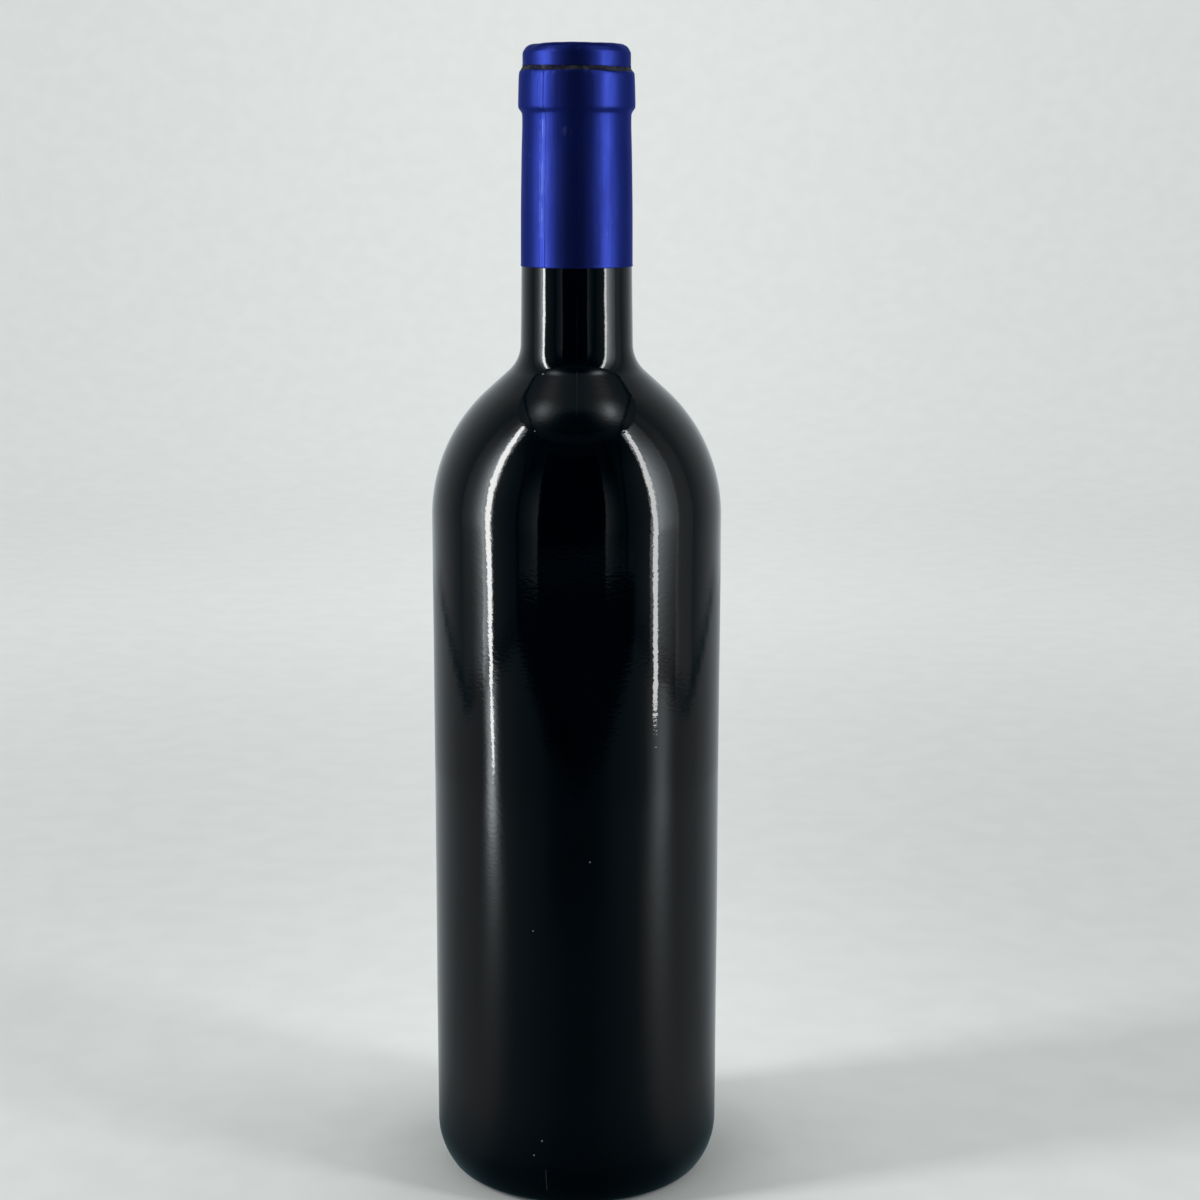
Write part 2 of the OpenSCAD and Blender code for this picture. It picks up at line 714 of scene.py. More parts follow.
@dataclass(frozen=True)
class BlueFoil:
    """Satin blue lacquer over drawn aluminium foil.

    Each of the painted highlight lines along the overlap is an azimuth and how strong it is.
    """

    colour: Colour = (0.021, 0.036, 0.25, 1.0)
    deep_colour: Colour = (0.015, 0.027, 0.21, 1.0)
    rubbed_and_highlight: Colour = (0.10, 0.14, 0.42, 1.0)
    edge_tint: Colour = (0.50, 0.55, 0.97, 1.0)
    satin: float = 0.44
    drawn_depth: float = 0.0016 * MM
    grain_depth: float = 0.0022 * MM
    coat: float = 0.05
    coat_rough: float = 0.28
    rub: Speck = Speck(-10.0, 14.0 * MM, 278.0 * MM, 1.6 * MM)
    line_half: float = 0.75
    line_low: float = 251.0 * MM
    line_high: float = 281.5 * MM
    lines: Knots = ((-41.0, 0.9), (-37.7, 1.0), (-34.5, 0.5))

    def material(self) -> bpy.types.Material:
        """Mix the foil.

        Returns:
            The finished material.
        """
        bench = Bench("blue_foil")
        drawn = bench.noise((1900.0, 1900.0, 70.0), 0.0, 3.0, 0.6)
        grain = bench.noise((2300.0, 2300.0, 1700.0), 2.3, 2.0)
        cloud = bench.noise((160.0, 160.0, 60.0), 4.1, 3.0)
        shade = bench.sum("MULTIPLY_ADD", drawn, 0.5, bench.times(cloud, 0.5))
        share = bench.spread(shade, 0.4, 0.62, 0.0, 1.0)
        colour = bench.blend(share, self.colour, self.deep_colour)
        # Scuffed lacquer and the painted highlight lines take the lighter colour.
        scuffs_and_highlights = self.scuffs_and_highlights(bench)
        colour = bench.blend(scuffs_and_highlights, colour, self.rubbed_and_highlight)
        rough = bench.spread(shade, 0.3, 0.7, self.satin - 0.04, self.satin + 0.05)
        ratio = self.grain_depth / self.drawn_depth
        height = bench.sum("MULTIPLY_ADD", grain, ratio, drawn)
        return bench.shade(
            Base_Color=colour,
            Metallic=1.0,
            Roughness=rough,
            Specular_Tint=self.edge_tint,
            Coat_Weight=self.coat,
            Coat_Roughness=self.coat_rough,
            Normal=bench.relief(height, self.drawn_depth),
        )

    def scuffs_and_highlights(self, bench: Bench) -> Socket:
        """Rub the lacquer a little where hands and boxes touched it, and paint highlight lines along
        the overlap.

        Args:
            bench: Node table of the foil.

        Returns:
            Socket that is 1 on scuffed lacquer and on the painted highlight lines.
        """
        scratch = bench.noise((900.0, 900.0, 260.0), 6.7, 4.0, 0.65)
        patch = bench.noise((120.0, 120.0, 90.0), 8.2, 2.0)
        everywhere = bench.times(
            bench.spread(scratch, 0.60, 0.72, 0.0, 0.5), bench.spread(patch, 0.55, 0.7, 0.0, 1.0)
        )
        rub = bench.times(bench.near(self.rub), bench.spread(scratch, 0.5, 0.62, 0.0, 0.45))
        found = bench.sum("MAXIMUM", everywhere, rub)
        patchy = bench.noise((300.0, 300.0, 420.0), 3.9, 3.0)
        patchy_highlight = bench.spread(patchy, 0.4, 0.6, 0.25, 1.0)
        # Painted highlight: lighter lines along the overlap's edges, broken up in patches.
        for azimuth, share in self.lines:
            line = bench.along_line(azimuth, self.line_half, self.line_low, self.line_high)
            line = bench.times(line, bench.times(patchy_highlight, share))
            found = bench.sum("MAXIMUM", found, line)
        return found


@dataclass(frozen=True)
class CrimpEdge:
    """Bare foil of the crimp, squeezed into fine wrinkles; its dark colour is partly the foil's own
    and partly painted shade of the groove, and painted shade darkens the wrinkles' hollows.
    """

    light: Colour = (0.045, 0.045, 0.062, 1.0)
    dark: Colour = (0.009, 0.009, 0.020, 1.0)
    metal: float = 0.85
    wrinkle_depth: float = 0.02 * MM

    def material(self) -> bpy.types.Material:
        """Mix the crimp.

        Returns:
            The finished material.
        """
        bench = Bench("crimp_edge")
        crease = bench.noise((520.0, 520.0, 900.0), 1.1, 3.0, 0.6)
        soot = bench.noise((240.0, 240.0, 240.0), 2.7, 2.0)
        # Painted shade: the colour is darkest where the wrinkle bump is lowest, in its hollows.
        both = bench.sum("MULTIPLY_ADD", crease, 0.6, bench.times(soot, 0.4))
        return bench.shade(
            Base_Color=bench.blend(bench.spread(both, 0.42, 0.62, 0.0, 1.0), self.dark, self.light),
            Metallic=self.metal,
            Roughness=bench.spread(crease, 0.3, 0.7, 0.45, 0.65),
            Normal=bench.relief(crease, self.wrinkle_depth),
        )


# ---- the bottle


@dataclass
class GlassBottle:
    """Foot, heel, wall, shoulder, neck and mouth of the bottle."""

    heel_side_r: float = 18.0 * MM
    heel_turn: float = 35.0
    heel_foot_r: float = 6.0 * MM
    bearing_w: float = 2.4 * MM
    punt_lip_r: float = 1.6 * MM
    punt_depth: float = 18.0 * MM
    flank_angle: float = 48.0
    flank_l: float = 7.5 * MM
    neck_fillet_r: float = 9.5 * MM
    neck_root_z: float = 224.0 * MM
    neck_root_r: float = 14.6 * MM
    neck_top_r: float = 13.7 * MM
    ring_step: float = 1.05 * MM
    ring_taper: float = 0.17 * MM
    ring_h: float = 8.8 * MM
    lip_step: float = 1.02 * MM
    lip_h: float = 6.2 * MM
    lip_round_r: float = 2.7 * MM
    seam_azimuths: tuple[float, float] = (0.0, 180.0)
    seam_height: float = 0.022 * MM
    seam_half: float = 0.28
    bare_top_z: float = 243.0 * MM
    foil_room: float = 0.35 * MM
    waves: tuple[Wave, ...] = (
        Wave(0.030, 2, WHOLE / 130, 0.4),
        Wave(0.018, 3, -WHOLE / 71, 2.2),
        Wave(0.009, 7, WHOLE / 43, 4.0),
        Wave(0.0035, 16, -WHOLE / 21, 1.3),
        Wave(0.0018, 29, WHOLE / 12.5, 5.1),
    )
    node: str = "bottle_glass"
    finish: DarkGlass = field(default_factory=DarkGlass)

    def outline(self) -> np.ndarray:
        """Draw the half outline, from the top of the punt round to the top of the mouth.

        Returns:
            Radius and height of each point.
        """
        low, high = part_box(self.node)
        body_r, top_z = (high[0] - low[0]) / 2, high[2]
        reach = self.heel_side_r - self.heel_foot_r
        rise = reach * math.sin(math.radians(self.heel_turn))
        side_c = np.array([body_r - self.heel_side_r, self.heel_foot_r + rise])
        foot_c = along(side_c, reach, self.heel_turn) - (0.0, 2 * rise)
        ring_in_r = foot_c[0] - self.bearing_w
        lip_reach = (ring_in_r**2 + self.punt_depth**2) / (2 * self.punt_depth)
        punt_r = lip_reach - self.punt_lip_r
        punt_c = np.array([0.0, self.punt_depth - punt_r])
        rim = math.degrees(math.atan2(self.punt_lip_r - punt_c[1], ring_in_r))
        ring_top_z = top_z - self.lip_h - self.lip_step
        ring_low_z = ring_top_z - self.ring_h
        neck_top_z = ring_low_z - self.ring_step
        ring_low_r = self.neck_top_r + self.ring_step
        lip_r = ring_low_r - self.ring_taper - self.lip_step
        neck_root = np.array([self.neck_root_r, self.neck_root_z])
        fall = (self.neck_root_r - self.neck_top_r) / (neck_top_z - self.neck_root_z)
        draft = math.degrees(math.atan(fall))
        fillet_c = along(neck_root, self.neck_fillet_r, draft)
        flank_top = along(fillet_c, -self.neck_fillet_r, self.flank_angle)
        flank_low = along(flank_top, -self.flank_l, self.flank_angle + 90)
        curve = 1 - math.cos(math.radians(self.flank_angle))
        shoulder_r = (body_r - flank_low[0]) / curve
        shoulder_c = along(flank_low, -shoulder_r, self.flank_angle)
        mouth = [
            [self.neck_top_r, neck_top_z],
            [ring_low_r, ring_low_z],
            [ring_low_r - self.ring_taper, ring_top_z],
            [lip_r, top_z - self.lip_h],
            [lip_r, top_z - self.lip_round_r],
        ]
        return joined(
            arc(punt_c, punt_r, 90, rim, 1.6),
            arc((ring_in_r, self.punt_lip_r), self.punt_lip_r, rim + 180, 270, 8),
            arc(foot_c, self.heel_foot_r, -90, -self.heel_turn, 3),
            arc(side_c, self.heel_side_r, -self.heel_turn, 0, 2),
            straight((body_r, side_c[1]), (body_r, shoulder_c[1]), 2.4 * MM),
            arc(shoulder_c, shoulder_r, 0, self.flank_angle, 0.8),
            straight(flank_low, flank_top, 0.8 * MM),
            arc(fillet_c, self.neck_fillet_r, self.flank_angle + 180, draft + 180, 1.6),
            straight(neck_root, mouth[0], 1.5 * MM),
            *[straight(a, b, 1.2 * MM) for a, b in zip(mouth, mouth[1:])],
            arc((lip_r - self.lip_round_r, top_z - self.lip_round_r), self.lip_round_r, 0, 90, 9),
            straight((lip_r - self.lip_round_r, top_z), (0.0, top_z), 2.5 * MM),
        )

    def proud(self, at: Places) -> np.ndarray:
        """Give the unevenness of the blown wall and its two mould seams.

        Args:
            at: Points of the surface.

        Returns:
            How far each point stands out.
        """
        bare = rising(at.height, 4 * MM, 18 * MM)
        bare = bare * (1 - rising(at.height, 232 * MM, self.bare_top_z))
        seam = 0.0
        for centre in self.seam_azimuths:
            seam = seam + bell(turned(at.azimuth, centre), 0.0, self.seam_half)
        reach = rising(at.height, 2 * MM, 8 * MM)
        reach = reach * (1 - rising(at.height, 236 * MM, self.bare_top_z))
        under_foil = self.foil_room * rising(at.height, 286 * MM, 290 * MM)
        uneven = waving(self.waves, at) * bare
        return uneven + seam * self.seam_height * reach - under_foil

    def build(self) -> list[bpy.types.Object]:
        """Turn the bottle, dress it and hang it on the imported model.

        Returns:
            The finished pieces.
        """
        lathe = Lathe(columns=232, fine_at=self.seam_azimuths, fine_step=0.14)
        piece = lathe.turn("glass_bottle", Section.solid(self.outline()), self.proud)
        piece.data.materials.append(self.finish.material())
        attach(piece, "root")
        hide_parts(self.node)
        return [piece]


@dataclass
class Capsule:
    """Foil capsule: the skirt on the neck, the dark crimp band and the top over the mouth.

    The outer lines of the foil are radii and heights in millimetres. The heights of the skirt's
    rolled edge are counted from its low end.
    """

    foil: float = 0.12 * MM
    seam_from: float = -41.0
    seam_to: float = -34.5
    seam_step: float = 0.05 * MM
    seam_edge: float = 0.55
    tilt: float = 0.22 * MM
    crimp_z: float = 293.7 * MM
    dent_azimuth: float = -60.0
    dent_depth: float = 0.30 * MM
    dent_half: float = 14.0
    ragged: tuple[Wave, ...] = (
        Wave(0.05, 5, 0.0, 0.6 - QUARTER),
        Wave(0.035, 13, 0.0, 2.0 - QUARTER),
        Wave(0.02, 31, 0.0, 4.4 - QUARTER),
    )
    pressed: tuple[Wave, ...] = (
        Wave(0.012, 6, 0.19),
        Wave(0.007, 15, -0.11, 1.0),
        Wave(0.004, 37, 0.0, 2.0),
    )
    crumpled: tuple[Wave, ...] = (
        Wave(0.025, 32, 0.0, 4.0),
        Wave(0.025, 14, 0.0, -2.0),
        Wave(0.03, 51, 0.0, 0.3),
    )
    wrinkled: tuple[Wave, ...] = (
        Wave(0.035, 44, 2.6, -QUARTER),
        Wave(0.03, 27, -3.4, 1.9 - QUARTER),
        Wave(0.03, 8, 0.0, 0.5 - QUARTER),
    )
    dented: tuple[Wave, ...] = (
        Wave(0.05, 3, 0.0, 1.2),
        Wave(0.04, 7, 0.0, 0.2),
        Wave(0.025, 17, 0.0, 2.5),
    )
    folded: tuple[Wave, ...] = (Wave(0.015, 27, 0.0, 1.0), Wave(0.015, 17, 0.0, 1.0))
    skirt_roll: Knots = (
        (14.34, 0.0), (14.44, 0.04), (14.49, 0.2), (14.47, 0.42), (14.42, 0.62), (14.42, 1.0),
    )
    skirt_line: Knots = (
        (14.41, 247.7), (14.35, 260.0), (14.12, 273.0), (13.95, 278.5), (13.93, 281.6),
        (13.98, 282.4), (14.18, 282.9), (14.62, 283.5), (14.92, 284.0), (14.97, 284.6),
        (14.93, 287.0), (14.85, 290.0), (14.77, 292.0), (14.68, 292.6), (14.46, 293.0),
    )
    top_line: Knots = (
        (13.90, 294.25), (13.80, 294.7), (13.79, 297.0), (13.71, 297.7), (13.50, 298.4),
        (13.14, 298.95), (12.60, 299.42), (11.80, 299.80), (10.70, 299.97), (8.0, 300.0),
    )
    skirt_node: str = "capsule_skirt"
    crimp_node: str = "crimp_band"
    top_node: str = "capsule_top"
    foil_finish: BlueFoil = field(default_factory=BlueFoil)
    crimp_finish: CrimpEdge = field(default_factory=CrimpEdge)

    def lean(self, at: Places) -> np.ndarray:
        """Lower the crimp on the right-hand side, where it was spun on askew.

        Args:
            at: Points of the surface.

        Returns:
            How far each point moves up.
        """
        askew = waving(self.ragged, at) - self.tilt * np.sin(np.radians(at.azimuth))
        return askew * bell(at.height, self.crimp_z, 2.0 * MM)

    def seam(self, azimuth: np.ndarray) -> np.ndarray:
        """Give the overlap where the foil was wrapped round, with its two pressed beads.

        Args:
            azimuth: Azimuth of each point, in degrees.

        Returns:
            How far each point stands out.
        """
        up = rising(azimuth, self.seam_from - self.seam_edge, self.seam_from + self.seam_edge)
        down = rising(azimuth, self.seam_to - self.seam_edge, self.seam_to + self.seam_edge)
        middle = (self.seam_from + self.seam_to) / 2
        beads = 0.6 * bell(azimuth, middle, 0.5) + 0.5 * bell(azimuth, self.seam_to, 0.4)
        return self.seam_step * (up * (1 - down) + beads)

    def skirt_proud(self, at: Places) -> np.ndarray:
        """Give the skirt's overlap and the slight unevenness of foil pressed onto glass.

        Args:
            at: Points of the surface.

        Returns:
            How far each point stands out.
        """
        crumple = waving(self.crumpled, at) * bell(at.height, 292.9 * MM, 0.7 * MM)
        return waving(self.pressed, at) + crumple + self.seam(at.azimuth)

    def crimp_proud(self, at: Places) -> np.ndarray:
        """Give the wrinkles squeezed into the crimp."""
        return waving(self.wrinkled, at)

    def top_proud(self, at: Places) -> np.ndarray:
        """Give the dents and folds of the top's rim.

        Args:
            at: Points of the surface.

        Returns:
            How far each point stands out.
        """
        rim = bell(at.height, 299.2 * MM, 1.1 * MM)
        dents = waving(self.dented, at) - 0.05 * MM
        dents -= self.dent_depth * bell(turned(at.azimuth, self.dent_azimuth), 0.0, self.dent_half)
        bead = 0.05 * bell(at.height, 297.7 * MM, 0.35 * MM)
        bead -= 0.06 * bell(at.height, 298.5 * MM, 0.3 * MM)
        folds = waving(self.folded, at) * bell(at.height, 294.6 * MM, 0.8 * MM)
        return dents * rim + bead * MM + folds

    def skirt_section(self) -> Section:
        """Draw the skirt's section, with its rolled cut edge and its tucked-in upper edge.

        Returns:
            Section of the foil.
        """
        roll = np.array(self.skirt_roll) * MM + (0.0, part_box(self.skirt_node)[0][2])
        tuck = np.array([[14.36, 293.1], [14.24, 293.12]]) * MM
        line = np.vstack([roll, np.array(self.skirt_line) * MM, tuck])
        return Section.foil(flowing(line, 0.9 * MM), self.foil)

    def crimp_section(self) -> Section:
        """Draw the crimp band's section, tucked under the skirt and the top.

        Returns:
            Section of the foil.
        """
        low, high = (corner[2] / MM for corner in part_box(self.crimp_node))
        line = [
            (14.36, low),
            (14.22, low + 0.2),
            (13.99, low + 0.6),
            (13.83, low + 0.95),
            (13.74, high - 0.2),
            (13.68, high + 0.2),
        ]
        return Section.foil(flowing(np.array(line) * MM, 0.12 * MM), self.foil)

    def top_section(self) -> Section:
        """Draw the top's section, from the low end of its rim to the middle of its disc.

        Returns:
            Section of the foil.
        """
        top_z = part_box(self.top_node)[1][2]
        rim = flowing(np.array(self.top_line) * MM, 0.35 * MM)
        disc = straight((self.top_line[-1][0] * MM, top_z), (0.0, top_z), 1.2 * MM)
        return Section.foil(joined(rim, disc), self.foil)

    def build(self) -> list[bpy.types.Object]:
        """Turn the three pieces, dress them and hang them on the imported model.

        Returns:
            The finished pieces.
        """
        middle = (self.seam_from + self.seam_to) / 2
        lathe = Lathe(columns=220, fine_at=(middle,), fine_reach=5.4, fine_step=0.3)
        skirt = lathe.turn("capsule_skirt_foil", self.skirt_section(), self.skirt_proud, self.lean)
        lathe = Lathe(columns=420)
        crimp = lathe.turn("crimp_band_foil", self.crimp_section(), self.crimp_proud, self.lean)
        lathe = Lathe(columns=280)
        top = lathe.turn("capsule_top_foil", self.top_section(), self.top_proud, self.lean)
        blue = self.foil_finish.material()
        dressed = (
            (skirt, self.skirt_node, blue, Slot.FOIL),
            (crimp, self.crimp_node, self.crimp_finish.material(), Slot.CRIMP),
            (top, self.top_node, blue, Slot.FOIL),
        )
        for piece, node, material, slot in dressed:
            piece.data.materials.append(material)
            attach(piece, "root")
            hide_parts(node)
        return [skirt, crimp, top]


# ---- the studio


@dataclass(frozen=True)
class Strip:
    """One upright strip light, wider in the middle than at its ends.

    Each row of the edge gives a height and the first and last azimuth there.
    """

    name: str
    bright: float
    edge: tuple[tuple[float, float, float], ...]


@dataclass(frozen=True)
class Lamp:
    """One soft lamp outside the tent, which shines through its cloth onto the paper."""

    name: str
    azimuth: float
    power: float
    away: float = 1.15
    height: float = 0.85
    aim_z: float = 0.10
    wide: float = 0.20
    tall: float = 0.60


@dataclass(frozen=True)
class Cloth:
    """One upright length of the tent's cloth.

    Its light fades evenly from the start to the end azimuth, and towards its foot and its head.
    The name only tells the cloths apart.
    """

    name: str
    start: float
    end: float
    first: float
    last: float
    foot: float = 1.0
    head: float = 1.0
    turn_z: float = 0.45
    hem: float = 0.5

    def light(self, at: Places) -> np.ndarray:
        """Give the cloth's own light.

        Args:
            at: Points of the wall.

        Returns:
            Brightness of each point, 0 beyond the cloth's edges.
        """
        low, high = sorted((self.start, self.end))
        inside = rising(at.azimuth, low - self.hem, low + self.hem)
        inside = inside * (1 - rising(at.azimuth, high - self.hem, high + self.hem))
        share = np.clip((at.azimuth - self.start) / (self.end - self.start), 0.0, 1.0)
        level = self.first * (self.last / self.first) ** share
        level = level * (self.foot + (1 - self.foot) * rising(at.height, 0.06, 0.16))
        top = rising(at.height, self.turn_z - 0.1, self.turn_z + 0.2)
        return inside * level * (1 - (1 - self.head) * top)


@dataclass
class Studio:
    """Pale floor that sweeps up all round, and the light tent that the bottle mirrors.

    The foot line gives the height where the tent's wall meets its ground, and the ground's light
    its brightness, each by the azimuth away from the front. A ceiling lamp is a place to the right
    of and behind the axis, and a brightness.
    """

    floor_r: float = 1.25
    sweep_r: float = 0.55
    wall_top_z: float = 2.4
    tent_r: float = 0.430
    tent_top_z: float = 0.760
    ambient: float = 0.45
    strips: tuple[Strip, ...] = (
        Strip(
            "left_strip",
            18.0,
            (
                (0.012, -68.4, -66.4),
                (0.050, -69.6, -67.0),
                (0.115, -72.6, -67.8),
                (0.400, -74.0, -68.4),
                (0.600, -75.0, -69.6),
                (0.750, -76.3, -73.0),
            ),
        ),
        Strip(
            "right_strip",
            12.0,
            (
                (0.040, 60.6, 64.4),
                (0.110, 59.8, 64.2),
                (0.200, 58.6, 62.6),
                (0.400, 58.2, 62.8),
                (0.600, 59.8, 64.8),
                (0.750, 61.2, 66.8),
            ),
        ),
    )
    lamps: tuple[Lamp, ...] = (
        Lamp("left_lamp", -72.0, 11.0),
        Lamp("right_lamp", 62.0, 6.3),
    )
    back_bright: float = 0.60
    side_bright: float = 0.13
    fold_azimuths: tuple[float, float] = (-44.9, 37.8)
    fold_lean: float = 15.0
    fold_half: float = 0.9
    opening: tuple[float, float] = (-30.5, 22.5)
    opening_hem: float = 1.5
    opening_top_z: float = 0.600
    opening_light: float = 0.015
    sill_z: float = 0.098
    sill_light: float = 0.004
    foot_line: Knots = (
        (0, 0.010), (20, 0.026), (45, 0.070), (95, 0.036), (132, 0.080), (180, 0.100),
    )
    ground_light: Knots = (
        (0, 0.055), (10, 0.06), (30, 0.095), (45, 0.13), (60, 0.22), (75, 0.26),
        (105, 0.27), (120, 0.35), (135, 0.46), (165, 0.58), (180, 0.62),
    )
    ceiling_lamps: tuple[tuple[float, float, float], ...] = (
        (-0.232, -0.062, 1.35),
        (0.228, -0.072, 2.0),
    )
    dim_tint: Colour = (0.45, 1.0, 1.18, 1.0)
    bright_tint: Colour = (0.92, 1.0, 1.04, 1.0)
    cloths: tuple[Cloth, ...] = (
        Cloth("left_outer", -76.0, -98.0, 4.6, 0.08, foot=0.45, head=0.40),
        Cloth("left_lit", -76.0, -66.8, 5.0, 3.0, head=0.8),
        Cloth("left_inner", -66.8, -44.0, 0.22, 0.05, head=0.35),
        Cloth("left_curtain", -29.4, -44.0, 0.32, 0.06, foot=0.5, head=0.1, turn_z=0.30),
        Cloth("right_curtain", 21.4, 34.0, 0.38, 0.045, foot=0.5, head=0.1, turn_z=0.30),
        Cloth("right_inner", 57.4, 34.0, 0.20, 0.045, head=0.35),
        Cloth("right_lit", 64.0, 57.4, 5.2, 2.6, foot=0.3),
        Cloth("right_grey", 64.0, 82.8, 5.0, 0.8, foot=0.3, head=0.5, hem=1.6),
        Cloth("right_outer", 82.0, 100.0, 0.55, 0.08, head=0.5, hem=1.0),
    )

    def sheet(
        self, name: str, rows: np.ndarray, azimuths: np.ndarray, glow: Measure
    ) -> bpy.types.Object:
        """Build a turned sheet of the studio.

        Args:
            name: Name of the sheet.
            rows: Radius and height of each row.
            azimuths: Azimuth of each column, in degrees.
            glow: Gives the brightness of its points.

        Returns:
            The sheet, marked as stage.
        """
        angle, radius = np.meshgrid(azimuths, rows[:, 0])
        at = Places(angle, radius, np.broadcast_to(rows[:, 1:], angle.shape))
        points = at.points()
        wide = len(azimuths)
        faces = []
        for row in range(len(rows) - 1):
            for first in range(row * wide, row * wide + wide - 1):
                faces.append((first, first + wide, first + wide + 1, first + 1))
        made = new_piece(name, points, faces)
        colours = np.ones((len(points), 4))
        colours[:, :3] = glow(at).reshape(-1, 1)
        layer = made.data.attributes.new("glow", "FLOAT_COLOR", "POINT")
        layer.data.foreach_set("color", colours.reshape(-1))
        made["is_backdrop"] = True
        return made

    def wall_glow(self, at: Places) -> np.ndarray:
        """Give the brightness of the tent's wall, with its open front, painted shade along its folds
        and painted shade in the seams where it meets the ground.

        Args:
            at: Points of the wall.

        Returns:
            Brightness of each point.
        """
        azimuth, height = at.azimuth, at.height
        away = np.abs(azimuth)
        level = self.back_bright * rising(away, 90, 172) * (1 - 0.5 * rising(height, 0.3, 0.7))
        level = level + self.side_bright * rising(away, 84, 94)
        for cloth in self.cloths:
            level = level + cloth.light(at)
        # Painted shade: a dark line along each fold, leaning further out higher up.
        lean = self.fold_lean * np.clip((height - 0.35) / 0.41, 0, 1) ** 1.5
        for fold in self.fold_azimuths:
            centre = fold + math.copysign(1, fold) * lean
            level = level * (1 - 0.85 * bell(azimuth - centre, 0.0, self.fold_half))
        left, right = self.opening
        over = rising(azimuth, left - self.opening_hem, left + self.opening_hem)
        over = over * (1 - rising(azimuth, right - self.opening_hem, right + self.opening_hem))
        over = over * rising(height, self.opening_top_z - 0.015, self.opening_top_z + 0.015)
        level = level * (1 - over) + over * self.opening_light
        facing = 1 - rising(away, 42, 47)
        sill = facing * (1 - rising(height, self.sill_z - 0.006, self.sill_z + 0.006))
        level = level * (1 - sill) + self.sill_light * sill
        level = level + 0.05 * facing * bell(height, self.sill_z + 0.005, 0.003)
        rise = height - falloff(away, self.foot_line)
        # Painted shade in the corner where the wall meets the ground, on the sides.
        side = rising(away, 43, 50) * (1 - rising(away, 125, 150))
        level = level * (1 - 0.75 * side * bell(rise, 0.0, 0.010))
        low = 1 - rising(rise, -0.006, 0.004)
        return level + (self.floor_glow(at) * 0.9 - level) * low

    def floor_glow(self, at: Places) -> np.ndarray:
        """Give the brightness of the tent's ground, lit by its walls and by the strips.

        Args:
            at: Points of the ground.

        Returns:
            Brightness of each point.
        """
        away = np.abs(at.azimuth)
        share = at.radius / self.tent_r
        inward = 1 - share
        level = falloff(away, self.ground_light)
        # Painted shade: darker towards the open front, and a painted contact shadow round the
        # bottle's foot.
        level = level * (1 - 0.35 * (1 - rising(away, 15, 30)) * rising(share, 0.45, 0.8))
        level = level * (0.45 + 0.55 * rising(at.radius, 0.036, 0.11))
        left = 5.0 * share**6 + 0.6 * share**2
        level = level + left * bell(at.azimuth, 7 * inward - 69, 4.2 + 9 * inward)
        right = 1.25 * share**2
        return level + right * bell(at.azimuth, 68 - 8 * inward, 8 + 6 * inward)

    def ceiling_glow(self, at: Places) -> np.ndarray:
        """Give the brightness of the tent's ceiling.

        Args:
            at: Points of the ceiling.

        Returns:
            Brightness of each point.
        """
        x, y = at.flat()
        front = rising(-y, 0.09, 0.17)
        level = 0.12 * (1 - front) + 0.012 * front
        level = level + 0.03 * front * rising(at.radius, 0.32, 0.36)
        for lamp_x, lamp_y, bright in self.ceiling_lamps:
            away = ((x - lamp_x) / 0.062) ** 2 + ((y - lamp_y) / 0.068) ** 2
            level = level + bright * np.exp(-away) + 0.25 * np.exp(-away / 4)
        return level * (1 - 0.8 * bell(np.abs(x), 0.345, 0.010))

    def sweep_glow(self, at: Places) -> np.ndarray:
        """Give the painted light of the floor and the sweep, more of it further out, with a painted
        pool of light behind the bottle, painted shade in front of it and a painted contact shadow
        round its foot.

        Args:
            at: Points of the floor and the sweep.

        Returns:
            Brightness of each point.
        """
        x, behind = at.flat()
        level = 0.20 - 0.065 * rising(at.radius, 0.05, 0.3) + 0.15 * rising(at.radius, 0.3, 0.9)
        # Painted pool of light on the floor behind the bottle.
        width = 0.08 + 0.2 * np.maximum(behind, 0.0)
        level = level + 0.09 * bell(x, 0.0, width) * rising(behind, 0.0, 0.1)
        # Painted shade on the floor in front of the bottle.
        level = level - 0.08 * bell(x, -0.04, 0.10) * (1 - rising(behind, 0.01, 0.09))
        # Painted contact shadow: no glow under and close round the bottle's foot.
        return level * rising(at.radius, 0.026, 0.072)

    def glowing(self, name: str) -> bpy.types.Material:
        """Make a material that glows as its sheet's brightness says.

        Args:
            name: Name of the material.

        Returns:
            The finished material.
        """
        bench = Bench(name)
        level = bench.node("ShaderNodeAttribute", attribute_name="glow")
        lamp = bench.node("ShaderNodeEmission")
        share = bench.spread(level.outputs["Fac"], 0.0, 0.25, 0.0, 1.0)
        bench.feed(lamp.inputs["Color"], bench.blend(share, self.dim_tint, self.bright_tint))
        bench.feed(lamp.inputs["Strength"], level.outputs["Fac"])
        return bench.finish(lamp.outputs[0], "NONE")

    def show(self, made: bpy.types.Object, rays: Rays) -> None:
        """Choose which rays meet a piece of the studio.

        Args:
            made: The piece.
            rays: Rays that meet it.
        """
        seen = rays is Rays.SEEN_AND_LIT
        made.visible_camera = seen
        made.visible_diffuse = seen
        made.visible_shadow = seen
        made.visible_transmission = seen
        made.visible_glossy = not seen

